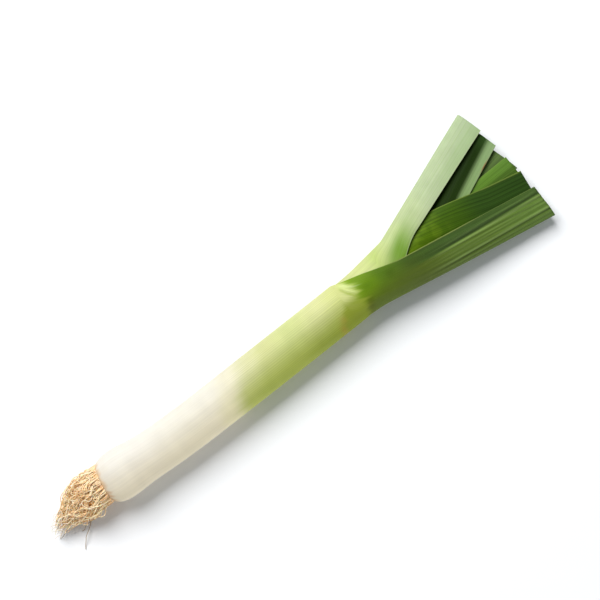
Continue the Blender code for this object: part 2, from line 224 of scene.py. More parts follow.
# Points of a leaf's skin. The section is an arc about the fan's centre: a quarter ellipse out
# to the keel, and a rounder one on the other side, cut off at the margin. Pleats, veins and
# slow waves then move each point along the section's normal.
def leafSkin(leaf, along, across, inset, relief=1.0):
    opened = 1 - (1 - np.clip((along - leaf["mouth"]) / leaf["opening"], 0, 1)) ** 2
    sheath = leaf["radius"] + (shaftSwell(along) if leaf["base"] == 0 else 0)
    keel = sheath + leaf["slope"] * ramp(along - leaf["bend"], leaf["bendLength"])
    keel = keel + leaf["lead"] * ramp(along - plan["leadStart"], plan["leadLength"])
    far = sheath * (1 + plan["mouthStretch"] * opened)
    width = leaf["width"] - leaf["taper"] * (plan["cut"] - along)
    margin = -sheath + opened * (keel + sheath - width)
    reach = np.arccos(np.clip(margin / np.where(margin > 0, keel, far), -1, 1))
    reach = np.where(opened <= 0, math.pi, reach)
    flat = fadeIn(along, plan["flatStart"], plan["flatEnd"] - plan["flatStart"]) * plan["flatShare"]
    halfHeight = sheath * (1 - flat)

    angle = across * reach
    cosine, sine = np.cos(angle), np.sin(angle)
    halfWidth = np.where(cosine > 0, keel, far)
    normal = np.stack([cosine / halfWidth, sine / halfHeight])
    normal /= np.hypot(normal[0], normal[1])
    blade = fadeIn(along, leaf["mouth"], plan["pleatFade"])
    side = np.abs(across)
    uneven = np.sin(math.tau * surface["unevenRate"] * side + leaf["seed"])
    pleat = np.cos(math.tau * leaf["pleats"] * side + surface["pleatSway"] * uneven)
    pleat = leaf["pleat"] * blade * pleat * fadeOut(side, surface["pleatEnd"], surface["pleatEndFade"])
    veins = surface["veinHeight"] * np.cos(math.tau * leaf["veins"] * across + surface["veinSway"] * uneven)
    veins = veins * (surface["veinOnSheath"] + surface["veinGain"] * blade)
    slow = (surface["slowOnSheath"] + surface["slowGain"] * blade) * wander(along, across, leaf["seed"])
    slow = slow * smoothStep(along / surface["slowStart"])
    grooved = fadeIn(along, plan["grooveStart"], plan["grooveFade"]) * leaf["groove"]
    groove = grooved * bump(side, plan["groovePlace"], plan["grooveWidth"])
    ridged = sum(height * bump(side, place + ridgeDrift(along), width)
                 for place, width, height in leaf["ridges"])
    ridged = ridged * fadeIn(along, surface["ridgeStart"], surface["ridgeFade"])
    centre = centreLine(along)
    if leaf["base"] == 0:
        aside = centre + leaf["side"] * halfWidth * cosine - plan["aside"]
        ridged = ridged + sum(crease["height"] * onCrease(crease, along, aside) for crease in creases)
    depth = inset + groove + relief * (pleat - veins + slow - ridged)
    aside = halfWidth * cosine - depth * normal[0]
    rise = halfHeight * sine
    least = surface["leastRise"] * np.abs(rise)
    up = np.sign(sine) * np.maximum(np.abs(rise) - depth * np.abs(normal[1]), least)
    settled = plan["settle"] * plan["radius"] * flat
    y = centre + leaf["side"] * aside
    x = along - plan["origin"]
    if leaf["base"] == 0:
        x = x + baseSet(y) * np.exp(-along / plan["baseTiltLength"])
    z = np.maximum(plan["axisHeight"] + up - settled, 0.0)
    return np.stack(np.broadcast_arrays(x, y, z), axis=-1)


# Distances along the leaf for every row and column, from start to the leaf's own straight cut.
def leafRows(leaf, start, closed):
    across = np.linspace(-1, 1, leaf["columns"] + 1)[None, :]
    atCut = np.full_like(across, plan["cut"])
    cut = leaf["cut"] + leaf["skew"] * leafSkin(leaf, atCut, across, 0.0, 0.0)[..., 1]
    share = np.linspace(0, 1, closed + 1) ** (surface["shaftSpacing"] if start == 0 else 1.0)
    sheath = start + (leaf["mouth"] - start) * share
    sheath = np.repeat(sheath[:, None], across.shape[1], axis=1)
    share = (np.arange(1, leaf["bladeRows"] + 1) / leaf["bladeRows"])[:, None] ** surface["bladeSpacing"]
    return np.concatenate([sheath, leaf["mouth"] + share * (cut - leaf["mouth"])]), across


# Corner numbers of the faces between neighbouring rows and columns of a grid of numbers.
def quads(grid):
    corners = [grid[:-1, :-1], grid[:-1, 1:], grid[1:, 1:], grid[1:, :-1]]
    return np.stack([corner.ravel() for corner in corners], axis=1).tolist()


# Makes an object of points and faces. shared gives the point that stands in for each one, which
# closes a seam, and the uvs keep both sides of the seam apart.
def finishMesh(name, points, faces, colours, uvs=None, shared=None):
    kept = shared if shared is not None else np.arange(len(points))
    mesh = bpy.data.meshes.new(name)
    mesh.from_pydata(points.tolist(), [], [tuple(kept[list(face)].tolist()) for face in faces])
    if uvs is not None:
        corner = np.concatenate([np.asarray(face) for face in faces])
        layer = mesh.uv_layers.new(name="strap")
        layer.data.foreach_set("uv", uvs[corner].astype(np.float32).ravel())
    tint = mesh.color_attributes.new("tint", "FLOAT_COLOR", "POINT")
    tint.data.foreach_set("color", np.c_[colours, np.ones(len(colours))].astype(np.float32).ravel())
    work = bmesh.new()
    work.from_mesh(mesh)
    bmesh.ops.delete(work, geom=[point for point in work.verts if not point.link_faces], context="VERTS")
    bmesh.ops.recalc_face_normals(work, faces=work.faces)
    for face in work.faces:
        face.smooth = True
    work.to_mesh(mesh)
    work.free()
    made = bpy.data.objects.new(name, mesh)
    bpy.context.scene.collection.objects.link(made)
    return made


# One leaf as a closed body: outer and inner skin, both margins, the cut, foot and socket floor.
def makeLeaf(leaf, paint):
    innerClosed = 10
    outerRows, across = leafRows(leaf, leaf["base"], leaf["sheathRows"])
    innerRows, _ = leafRows(leaf, leaf["floor"] - plan["clearance"], innerClosed)
    outer = leafSkin(leaf, outerRows, across, 0.0)
    inner = leafSkin(leaf, innerRows, across, plan["thickness"])
    columns = across.shape[1]
    outIds = np.arange(outer.shape[0] * columns).reshape(-1, columns)
    inIds = np.arange(inner.shape[0] * columns).reshape(-1, columns) + outIds.size
    points = np.concatenate([outer.reshape(-1, 3), inner.reshape(-1, 3)])
    alongAll = np.concatenate([outerRows.ravel(), innerRows.ravel()])
    acrossAll = np.tile(across.ravel(), len(outerRows) + len(innerRows))
    uvs = np.stack([acrossAll * 0.5 + 0.5, alongAll / plan["cut"]], axis=1)

    shared = np.arange(len(points))
    shared[outIds[: leaf["sheathRows"] + 1, -1]] = outIds[: leaf["sheathRows"] + 1, 0]
    shared[inIds[: innerClosed + 1, -1]] = inIds[: innerClosed + 1, 0]
    faces = quads(outIds) + quads(inIds)
    for edge in (0, -1):
        faces += quads(np.stack([outIds[leaf["sheathRows"]:, edge], inIds[innerClosed:, edge]]))
    faces += quads(np.stack([outIds[-1], inIds[-1]]))
    faces.append(outIds[0, :-1].tolist())
    faces.append(inIds[0, :-1].tolist())
    colours = leafShare * paint(alongAll, acrossAll, points[:, 1] - plan["aside"])
    return finishMesh(leaf["piece"], points, faces, colours, uvs, shared)


# A colour for each value, from pairs of place and colour, eased between neighbours.
def stops(value, table):
    places = np.array([place for place, shade in table])
    shades = np.array([shade for place, shade in table])
    k = np.clip(np.searchsorted(places, value, side="right") - 1, 0, len(places) - 2)
    share = smoothStep((value - places[k]) / (places[k + 1] - places[k]))
    return shades[k] * (1 - share[:, None]) + shades[k + 1] * share[:, None]


# Lengthwise streaks of about -1 to 1, which drift slowly along the leaf: sines of chance rates.
def streaks(across, along, seed, fine):
    waves = 9
    chance = np.random.default_rng(seed)
    total = np.zeros_like(along)
    for k in range(waves):
        sideways = chance.uniform(0.15, 1.0) * fine
        drift = chance.uniform(-9, 9)
        fade = 0.6 + 0.4 * np.sin(chance.uniform(8, 40) * along + chance.uniform(0, math.tau))
        total += fade * np.sin(sideways * across + drift * along + chance.uniform(0, math.tau))
    return total / math.sqrt(waves)


# Soft blotches of about -1 to 1, a few millimetres wide: sines in chance directions.
def blotches(along, across, seed, size):
    waves = 14
    chance = np.random.default_rng(seed)
    total = np.zeros_like(along)
    for k in range(waves):
        turn = chance.uniform(0, math.pi)
        rate = math.tau / size * chance.uniform(0.5, 1.6)
        place = along * math.cos(turn) + 0.03 * across * math.sin(turn)
        total += np.sin(rate * place + chance.uniform(0, math.tau))
    return total / math.sqrt(waves / 2)


# Lays a patch, which is a colour and its strength, over painted colours by a share for each point.
def layOver(made, patch, share):
    colour, strength = patch
    return mix(made, colour, strength * share)


# A lighter margin: the patch comes in over the last width before the leaf's edge.
def lightEdge(made, across, patch, width=0.022):
    return layOver(made, patch, smoothStep((np.abs(across) - 1 + width) / width))


# The outer leaf's paint. A table pairs distances along the leaf with colours, and a patch is a
# colour and its strength. rim and edge are lines over the leaf: places sideways and along. The
# first two tables are the shaft's colours on its shaded and on its lit side: painted shade and light.
outerPaint = {
    "shaded": [
        (0.000, linear(226, 190, 150)), (0.004, linear(238, 226, 200)), (0.014, linear(239, 228, 202)),
        (0.096, linear(239, 229, 199)), (0.112, linear(236, 228, 186)), (0.132, linear(182, 191, 98)),
        (0.150, linear(172, 184, 84)), (0.180, linear(168, 180, 78)), (0.206, linear(152, 166, 60)),
        (0.226, linear(146, 160, 48)), (0.250, linear(120, 138, 26))],
    "litSide": [
        (0.000, linear(226, 196, 160)), (0.004, linear(229, 222, 210)), (0.014, linear(230, 225, 216)),
        (0.100, linear(229, 224, 210)), (0.116, linear(226, 220, 196)), (0.138, linear(212, 211, 164)),
        (0.154, linear(204, 206, 146)), (0.180, linear(200, 207, 140)), (0.206, linear(210, 212, 152)),
        (0.228, linear(206, 211, 138)), (0.246, linear(176, 196, 90))],
    "lower": [
        (0.240, linear(104, 124, 24)), (0.262, linear(88, 108, 22)), (0.300, linear(82, 100, 30)),
        (0.340, linear(88, 112, 42)), (0.414, linear(92, 121, 50))],
    "upper": [
        (0.240, linear(136, 170, 34)), (0.257, linear(110, 146, 10)), (0.275, linear(86, 120, 22)),
        (0.300, linear(62, 88, 32)), (0.340, linear(66, 93, 40)), (0.414, linear(70, 98, 42))],
    "rim": ([-0.0205, -0.0076, 0.0035], [0.2220, 0.2290, 0.2368]),
    "edge": ([-0.0213, -0.0106, -0.004, 0.0, 0.004, 0.008, 0.014],
             [0.2476, 0.2512, 0.2470, 0.2495, 0.2500, 0.2465, 0.2430]),
    "olive": (linear(134, 148, 32), 0.70), "burnt": (linear(176, 138, 50), 0.45),
    "ridgeHighlight": (linear(152, 180, 104), 0.42), "deep": (linear(84, 120, 2), 0.6),
    "shadow": (linear(58, 82, 10), 0.4), "keel": (linear(64, 78, 26), 0.75),
    "collarShade": (linear(84, 94, 2), 0.6), "margin": (linear(150, 164, 88), 0.8),
    "leftShift": 0.010, "ragged": 0.0022, "raggedEdge": 0.0026, "edgeBefore": 0.003,
    "ribs": 0.09, "fullRidge": 0.0004, "furrowShade": 0.80, "highFrom": 0.83,
    "streaks": 0.17, "fineStreaks": 0.16, "blotches": 0.012, "marginLoss": 0.85,
}


# White shaft, pale green above it, then the collar and the dark green blade. Round the shaft, the left
# side is painted paler and the right side darker, as painted light and shade.
def paintOuter(along, across, aside):
    side = np.abs(across)
    streak = streaks(across, along, 41, 90)
    # Painted light and shade round the shaft: the share of the lit colours grows towards the left side,
    # where the light comes from, and there the green starts later.
    litShare = fadeIn(side, 0.22, 0.54)
    shift = outerPaint["leftShift"] * litShare * fadeIn(along, 0.06, 0.04)
    place = along - shift + outerPaint["ragged"] * streak
    shaft = mix(stops(place, outerPaint["shaded"]), stops(place, outerPaint["litSide"]), litShare)
    ribs = np.cos(math.tau * leaves[0]["veins"] * across + 1.5 * streak)
    shaft = shaft * (1 + outerPaint["ribs"] * ribs * fadeIn(along, 0.115, 0.03))[:, None]
    rim = np.interp(aside, *outerPaint["rim"])
    shaft = layOver(shaft, outerPaint["olive"], fadeIn(along, rim, 0.003) * fadeOut(aside, 0.002, 0.008))
    shaft = layOver(shaft, outerPaint["burnt"], bump(along, rim, 0.0022) * fadeOut(aside, -0.004, 0.010))

    lower = stops(along, outerPaint["lower"])
    upper = stops(along, outerPaint["upper"])
    # At the collar the right, lower side takes the darker lower colours, as painted shade on the side away
    # from the light.
    green = mix(lower, upper, fadeIn(aside, -0.017, 0.019))
    blade = fadeIn(along, 0.285, 0.03)
    high = smoothStep((side - outerPaint["highFrom"] - ridgeDrift(along)) / 0.03)
    green = mix(green, mix(lower, upper, high), blade)
    # Painted highlight and shade on the blade's ridges: the raised ones are painted lighter and the sunken
    # ones darker.
    light = sum(np.sign(height) * min(abs(height) / outerPaint["fullRidge"], 1)
                * bump(side, spot + ridgeDrift(along), width)
                for spot, width, height in leaves[0]["ridges"])
    light = light * fadeIn(along, 0.300, 0.04)
    green = layOver(green, outerPaint["ridgeHighlight"], np.maximum(light, 0))
    green = green * (1 + outerPaint["furrowShade"] * np.minimum(light, 0))[:, None]
    green = green * (1 + outerPaint["streaks"] * streaks(across, along, 42, 110) * blade
                     + outerPaint["fineStreaks"] * streaks(across, along, 44, 240) * blade)[:, None]
    green = layOver(green, outerPaint["deep"], bump(aside, -0.001, 0.004) * bump(along, 0.259, 0.006))
    green = layOver(green, outerPaint["shadow"], bump(aside, -0.004, 0.004) * bump(along, 0.279, 0.004))
    # Painted shade along the keel, the side of the leaf away from the light.
    green = layOver(green, outerPaint["keel"], fadeOut(side, 0.13, 0.09) * fadeIn(along, 0.262, 0.04))

    edge = np.interp(aside, *outerPaint["edge"])
    past = along - edge + outerPaint["edgeBefore"] - outerPaint["raggedEdge"] * streak
    made = mix(shaft, green, smoothStep(past / 0.008))
    # Painted shade in a band just past the collar's edge, on the right side, away from the light.
    collarShade = bump(along, edge + 0.003, 0.0035) * fadeOut(aside, -0.006, 0.008)
    made = layOver(made, outerPaint["collarShade"], collarShade)
    # Painted highlights along the raised creases and painted shade along the sunken one.
    for crease in creases:
        if "patch" in crease:
            made = layOver(made, crease["patch"], onCrease(crease, along, aside))
    made = made * (1 + outerPaint["blotches"] * blotches(along, across, 43, 0.012))[:, None]
    margin = fadeIn(side, 0.978, 0.02) * fadeIn(along, 0.275, 0.02)
    margin = margin * (1 - outerPaint["marginLoss"] * fadeIn(along, 0.335, 0.04))
    return layOver(made, outerPaint["margin"], margin)


secondPaint = {
    "base": [
        (0.230, linear(204, 208, 142)), (0.262, linear(200, 208, 138)), (0.280, linear(188, 201, 128)),
        (0.300, linear(187, 200, 142)), (0.320, linear(186, 199, 151)), (0.345, linear(182, 196, 155)),
        (0.414, linear(176, 193, 152))],
    "crook": (linear(176, 198, 100), 0.40), "green": (linear(102, 146, 8), 0.90),
    "greener": (linear(150, 180, 118), 0.45), "edge": (linear(206, 218, 172), 0.5),
    "line": linear(146, 180, 104), "lineStrength": 0.30, "lineMost": 0.6,
    "streaks": 0.06, "blotches": 0.015,
}


# Pale and waxy, with more green where it leaves the shaft.
def paintSecond(along, across, aside):
    side = np.abs(across)
    crook = bump(along, 0.276 + 0.20 * np.maximum(aside - 0.008, 0), 0.0045)
    made = layOver(stops(along, secondPaint["base"]), secondPaint["crook"], crook)
    made = layOver(made, secondPaint["green"], fadeIn(side, 0.36, 0.40) * bump(along, 0.296, 0.018))
    made = layOver(made, secondPaint["greener"], fadeIn(side, 0.55, 0.4) * fadeIn(along, 0.330, 0.05))
    lines = secondPaint["lineStrength"] * np.maximum(streaks(across, along, 54, 190), 0)
    lines = np.minimum(lines, secondPaint["lineMost"]) * fadeIn(along, 0.285, 0.02)
    made = mix(made, secondPaint["line"], lines)
    made = made * (1 + secondPaint["streaks"] * streaks(across, along, 52, 150)
                   + secondPaint["blotches"] * blotches(along, across, 53, 0.016))[:, None]
    return lightEdge(made, across, secondPaint["edge"])


thirdPaint = {
    "base": [
        (0.285, linear(108, 136, 18)), (0.318, linear(78, 108, 10)), (0.345, linear(64, 94, 18)),
        (0.372, linear(50, 78, 26)), (0.414, linear(46, 74, 26))],
    "pale": (linear(124, 152, 36), 0.22), "edge": (linear(128, 150, 66), 0.7), "edgeWidth": 0.03,
    "streaks": 0.20, "fineStreaks": 0.12,
}


# Dark, with paler mottling by the shaft.
def paintThird(along, across, aside):
    made = stops(along, thirdPaint["base"])
    mottled = 0.2 + 0.7 * blotches(along, across, 63, 0.010) + 0.4 * streaks(across, along, 65, 60)
    made = layOver(made, thirdPaint["pale"], smoothStep(mottled) * fadeOut(along, 0.350, 0.03))
    made = made * (1 + thirdPaint["streaks"] * streaks(across, along, 62, 110)
                   + thirdPaint["fineStreaks"] * streaks(across, along, 64, 240))[:, None]
    return lightEdge(made, across, thirdPaint["edge"], thirdPaint["edgeWidth"])


# The fourth leaf's colours towards the keel are painted shadow from the second leaf above it.
fourthPaint = {
    "pale": [(0.330, linear(118, 150, 82)), (0.360, linear(138, 166, 106)), (0.414, linear(140, 168, 114))],
    "deep": [(0.330, linear(28, 50, 0)), (0.390, linear(24, 46, 0)), (0.414, linear(44, 76, 24))],
    "edge": (linear(168, 188, 138), 0.5), "edgeWidth": 0.028, "spot": (linear(150, 96, 58), 0.8),
    "streaks": 0.08,
}


# Dark towards the keel, as painted shadow where the second leaf's margin lies above it, with a pale
# band along the margin and a brown spot on it.
def paintFourth(along, across, aside):
    side = np.abs(across)
    deep, pale = stops(along, fourthPaint["deep"]), stops(along, fourthPaint["pale"])
    made = mix(deep, pale, fadeIn(side, 0.76, 0.15))
    made = made * (1 + fourthPaint["streaks"] * streaks(across, along, 72, 120))[:, None]
    made = lightEdge(made, across, fourthPaint["edge"], fourthPaint["edgeWidth"])
    return layOver(made, fourthPaint["spot"], bump(along, 0.391, 0.0045) * fadeIn(side, 0.968, 0.02))


fifthPaint = {
    "base": [(0.320, linear(92, 126, 30)), (0.380, linear(99, 138, 48)), (0.414, linear(96, 135, 52))],
    "shaded": (linear(70, 98, 32), 0.7), "edge": (linear(130, 160, 72), 0.4), "edgeWidth": 0.03,
    "streaks": 0.14,
}


# Mid green, with painted shade on the right, where it goes under the third leaf.
def paintFifth(along, across, aside):
    made = layOver(stops(along, fifthPaint["base"]), fifthPaint["shaded"], fadeOut(aside, 0.006, 0.006))
    made = made * (1 + fifthPaint["streaks"] * streaks(across, along, 82, 100))[:, None]
    return lightEdge(made, across, fifthPaint["edge"], fifthPaint["edgeWidth"])


sixthPaint = {
    "base": [(0.330, linear(76, 102, 38)), (0.380, linear(80, 104, 46)), (0.414, linear(88, 112, 58))],
    "streaks": 0.12,
}


# Mid green with faint streaks.
def paintSixth(along, across, aside):
    made = stops(along, sixthPaint["base"])
    return made * (1 + sixthPaint["streaks"] * streaks(across, along, 92, 100))[:, None]


# Joins an output to an input.
def link(tree, source, target):
    tree.links.new(source, target)


# Sets a node's inputs by name.
def setInputs(node, values):
    for name, value in values.items():
        node.inputs[name].default_value = value


# A sum on sockets or plain numbers.
def mathNode(tree, operation, first, second=None, third=None):
    node = tree.nodes.new("ShaderNodeMath")
    node.operation = operation
    for socket, value in zip(node.inputs, (first, second, third)):
        if isinstance(value, (int, float)):
            socket.default_value = value
        elif value is not None:
            link(tree, value, socket)
    return node.outputs[0]


# Two colours, each a socket or a plain value, mixed by a blend mode.
def mixColour(tree, mode, factor, first, second):
    node = tree.nodes.new("ShaderNodeMix")
    node.data_type = "RGBA"
    node.blend_type = mode
    for socket, value in ((node.inputs[0], factor), (node.inputs[6], first), (node.inputs[7], second)):
        if isinstance(value, (int, float, tuple)):
            socket.default_value = value
        else:
            link(tree, value, socket)
    return node.outputs[2]


# Stretches the span from low to high onto the one from toLow to toHigh.
def mapRange(tree, value, low, high, toLow, toHigh):
    node = tree.nodes.new("ShaderNodeMapRange")
    setInputs(node, {"From Min": low, "From Max": high, "To Min": toLow, "To Max": toHigh})
    link(tree, value, node.inputs["Value"])
    return node.outputs[0]


# Blender's noise on a vector.
def noise(tree, vector, scale, detail):
    node = tree.nodes.new("ShaderNodeTexNoise")
    setInputs(node, {"Scale": scale, "Detail": detail})
    link(tree, vector, node.inputs["Vector"])
    return node.outputs[0]


# A material whose colour starts from the paint that the mesh holds.
def newMaterial(name):
    material = bpy.data.materials.new(name)
    material.use_nodes = True
    tree = material.node_tree
    tint = tree.nodes.new("ShaderNodeAttribute")
    tint.attribute_name = "tint"
    return material, tree, tree.nodes["Principled BSDF"], tint.outputs["Color"]


# Bends a shader's normal by a height, so that fine wrinkles catch the light.
def addBump(tree, shader, height, strength, distance):
    bumped = tree.nodes.new("ShaderNodeBump")
    setInputs(bumped, {"Strength": strength, "Distance": distance})
    link(tree, height, bumped.inputs["Height"])
    link(tree, bumped.outputs[0], shader.inputs["Normal"])


# The waxy skin that all the leaves share. Noises are given as scales across and along the leaf.
waxySkin = {
    "broad": (2.2, 5.0), "fine": (9.0, 7.0), "detail": 3.0, "fleckScale": 900.0,
    "veinRate": 3.4, "veinSway": 5.0, "veinPower": 3.0, "fineShare": 0.6, "broadShare": 0.4,
    "streakRange": (0.36, 0.64), "roughRange": (0.3, 0.7), "smoother": 0.06, "rougher": 0.08,
    "veinBump": 0.35, "fleckBump": 0.12, "fineBump": 0.6, "bumpStrength": 0.35, "bumpDistance": 0.0002,
    "softDepth": 0.0015,
}


# Waxy leaf: the painted colour, fine veins and streaks along the leaf, small flecks, and bump.
def leafMaterial(leaf):
    material, tree, shader, tint = newMaterial(leaf["piece"] + "_skin")
    strap = tree.nodes.new("ShaderNodeUVMap")
    strap.uv_map = "strap"
    parts = tree.nodes.new("ShaderNodeSeparateXYZ")
    link(tree, strap.outputs[0], parts.inputs[0])

    def stretchedNoise(scales):
        stretched = tree.nodes.new("ShaderNodeMapping")
        stretched.inputs["Scale"].default_value = (scales[0] * leaf["veins"], scales[1], 1.0)
        link(tree, strap.outputs[0], stretched.inputs[0])
        return noise(tree, stretched.outputs[0], 1.0, waxySkin["detail"])

    broad = stretchedNoise(waxySkin["broad"])
    fine = stretchedNoise(waxySkin["fine"])
    turn = mathNode(tree, "MULTIPLY", parts.outputs[0], math.tau * waxySkin["veinRate"] * leaf["veins"])
    wave = mathNode(tree, "COSINE", mathNode(tree, "MULTIPLY_ADD", broad, waxySkin["veinSway"], turn))
    vein = mathNode(tree, "POWER", mathNode(tree, "MULTIPLY_ADD", wave, 0.5, 0.5), waxySkin["veinPower"])
    place = tree.nodes.new("ShaderNodeTexCoord")
    flecks = noise(tree, place.outputs["Object"], waxySkin["fleckScale"], waxySkin["detail"])

    veinShare = mathNode(tree, "MULTIPLY", vein, leaf["veinMix"])
    colour = mixColour(tree, "MIX", veinShare, tint, leaf["veinColour"])
    broadPart = mathNode(tree, "MULTIPLY", broad, waxySkin["broadShare"])
    both = mathNode(tree, "MULTIPLY_ADD", fine, waxySkin["fineShare"], broadPart)
    shade = mapRange(tree, both, *waxySkin["streakRange"], 1 - leaf["streakMix"], 1 + leaf["streakMix"])
    grey = tree.nodes.new("ShaderNodeCombineColor")
    for k in range(3):
        link(tree, shade, grey.inputs[k])
    link(tree, mixColour(tree, "MULTIPLY", 1.0, colour, grey.outputs[0]), shader.inputs["Base Color"])
    smooth, rough = leaf["rough"] - waxySkin["smoother"], leaf["rough"] + waxySkin["rougher"]
    link(tree, mapRange(tree, broad, *waxySkin["roughRange"], smooth, rough), shader.inputs["Roughness"])

    fleckPart = mathNode(tree, "MULTIPLY", flecks, waxySkin["fleckBump"])
    height = mathNode(tree, "MULTIPLY_ADD", vein, waxySkin["veinBump"], fleckPart)
    height = mathNode(tree, "MULTIPLY_ADD", fine, waxySkin["fineBump"], height)
    addBump(tree, shader, height, waxySkin["bumpStrength"], waxySkin["bumpDistance"])
    setInputs(shader, {"Subsurface Weight": leaf["soft"], "Subsurface Radius": leaf["softReach"],
                       "Subsurface Scale": waxySkin["softDepth"], "Specular IOR Level": leaf["gloss"]})
    return material


rootSkin = {
    "fleckScale": 260.0, "fleckDetail": 5.0, "fleckRange": (0.55, 0.75), "fleckShare": 0.35,
    "fleckColour": (0.50, 0.27, 0.11, 1.0), "bumpStrength": 0.5, "bumpDistance": 0.0003,
    "inputs": {"Roughness": 0.75, "Specular IOR Level": 0.2, "Subsurface Weight": 0.25,
               "Subsurface Radius": (1.0, 0.6, 0.3), "Subsurface Scale": 0.001},
}


# Dry root skin: the painted colour with brown flecks, rough, and lightly wrinkled.
def rootMaterial():
    material, tree, shader, tint = newMaterial("root_skin")
    place = tree.nodes.new("ShaderNodeTexCoord")
    flecks = noise(tree, place.outputs["Object"], rootSkin["fleckScale"], rootSkin["fleckDetail"])
    share = mapRange(tree, flecks, *rootSkin["fleckRange"], 0.0, rootSkin["fleckShare"])
    colour = mixColour(tree, "MIX", share, tint, rootSkin["fleckColour"])
    link(tree, colour, shader.inputs["Base Color"])
    addBump(tree, shader, flecks, rootSkin["bumpStrength"], rootSkin["bumpDistance"])
    setInputs(shader, rootSkin["inputs"])
    return material


# Gives a finished piece its material and body, hides the solid node that it stands in for, and reports it.
def dress(made, node, material):
    made.data.materials.append(material)
    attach(made, "root")
    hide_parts(node)
    print("made", made.name, "with", sum(len(face.vertices) - 2 for face in made.data.polygons), "triangles")


# The thick roots run where the solid's do, by the same rule and seed. A stray is a turn in degrees,
# a length and how far it swerves to the left. A wave is a size and the lowest and highest rate.
roots = {
    "seed": 7, "count": 82, "length": 0.052, "tuftRadius": 0.0160,
    "belly": 0.10, "bellyLength": 0.034, "drop": 0.009,
    "tail": 0.007, "tailStart": 0.024, "tailLength": 0.030,
    "strays": [(205, 0.050, -0.024), (228, 0.043, -0.012), (186, 0.060, -0.002), (150, 0.058, 0.004)],
    "strayFrom": 0.45, "strayPower": 0.7, "sway": 0.0036, "swayLength": 0.045,
    "plateThickness": 0.0032, "gap": 0.00005, "shortest": 0.60, "spread": 0.93, "strayStart": 0.80,
    "steps": 44, "sides": 6, "thick": 0.00062, "thin": 0.00030, "slack": 1.05, "floorGap": 0.0009,
    "waves": ((0.0010, 9, 18), (0.0004, 24, 40)), "strayWaves": ((0.0020, 6, 10), (0.0007, 14, 22)),
    "stout": (0.85, 1.2), "strayStout": 0.80, "lowest": 0.0007,
    "dark": linear(236, 202, 152), "pale": linear(250, 230, 192), "start": (linear(226, 178, 122), 0.6),
    "strayEnd": (linear(158, 144, 122), 1.0),
}


# The tuft's section at a distance behind the plate: sideways place, height and radius.
def tuftSection(back):
    aside = centreLine(0.0) - roots["sway"] * (back / roots["swayLength"]) ** 3
    height = plan["axisHeight"] - roots["drop"] * smoothStep(back / roots["length"])
    radius = roots["tuftRadius"] * (1 + roots["belly"] * np.sin(math.pi * back / roots["bellyLength"]))
    return aside, height, radius - roots["tail"] * fadeIn(back, roots["tailStart"], roots["tailLength"])


# Points behind the plate. The tilt of the shaft's end fades out over the tuft.
def behindPlate(back, y, z):
    x = baseSet(y) * np.exp(-np.maximum(back, 0) / plan["baseTiltLength"]) - roots["gap"] - back
    return np.stack([x - plan["origin"], y, z], axis=-1)


# Centre line of one thick root, by the rule of the solid's roots.
def thickRoot(chance, t, turn, start, length, stray):
    drift = chance.uniform(-0.30, 0.08)
    twist = chance.uniform(-0.8, 0.8)
    phase = [chance.uniform(0, math.tau) for _ in range(3)]
    back = length * t
    loose = smoothStep((back - 0.007) / 0.018)
    aside, height, radius = tuftSection(back)
    out = radius * (start + drift * loose)
    around = turn + loose * (twist * t + 0.35 * np.sin(5 * t + phase[0]))
    y = aside + out * np.cos(around) + 0.0026 * loose * np.sin(8 * t + phase[1])
    z = height + out * np.sin(around) + 0.0020 * loose * np.sin(7 * t + phase[2])
    swerve = np.maximum(0, (t - roots["strayFrom"]) / (1 - roots["strayFrom"])) ** roots["strayPower"]
    y = y + stray * swerve
    if stray:
        z = z - (z - roots["thick"]) * swerve
    return behindPlate(back + roots["plateThickness"] / 2, y, z), loose


# All the thick roots: turned by the golden angle each time, further out by the square root of their
# share, and then the strays.
def thickRoots():
    chance = random.Random(roots["seed"])
    t = np.linspace(0, 1, roots["steps"] + 1)
    found = []
    for number in range(roots["count"]):
        share = (number + 0.5) / roots["count"]
        turn = number * math.pi * (3 - math.sqrt(5))
        length = roots["length"] * chance.uniform(roots["shortest"], 1.0)
        found.append(thickRoot(chance, t, turn, roots["spread"] * math.sqrt(share), length, 0.0))
    for turn, length, stray in roots["strays"]:
        found.append(thickRoot(chance, t, math.radians(turn), roots["strayStart"], length, stray))
    return np.array([path for path, loose in found]), np.array([loose for path, loose in found])


# Curls of chance size added to centre lines, in rising rates and falling sizes.
def curl(paths, loose, t, seed, waves):
    chance = np.random.default_rng(seed)
    count = len(paths)
    for size, low, high in waves:
        for axis in range(3):
            amount = chance.uniform(0.35, 1.15, (count, 1))
            rate = chance.uniform(low, high, (count, 1))
            start = chance.uniform(0, math.tau, (count, 1))
            paths[..., axis] += size * loose * amount * (np.sin(rate * t + start) - np.sin(start) * (1 - t))
    return paths


# Keeps centre lines near the tuft and off the floor, and behind the plate.
def keepIn(paths, slack, floorGap):
    back = np.maximum(-paths[..., 0] - plan["origin"], 0)
    aside, height, radius = tuftSection(np.minimum(back, roots["length"]))
    y, z = paths[..., 1] - aside, paths[..., 2] - height
    pull = np.minimum(1, slack * radius / (np.hypot(y, z) + 1e-9))
    paths[..., 1] = aside + y * pull
    paths[..., 2] = np.maximum(height + z * pull, floorGap)
    front = baseSet(paths[..., 1]) - roots["gap"] - 0.0006 - plan["origin"]
    paths[..., 0] = np.minimum(paths[..., 0], front)
    return paths


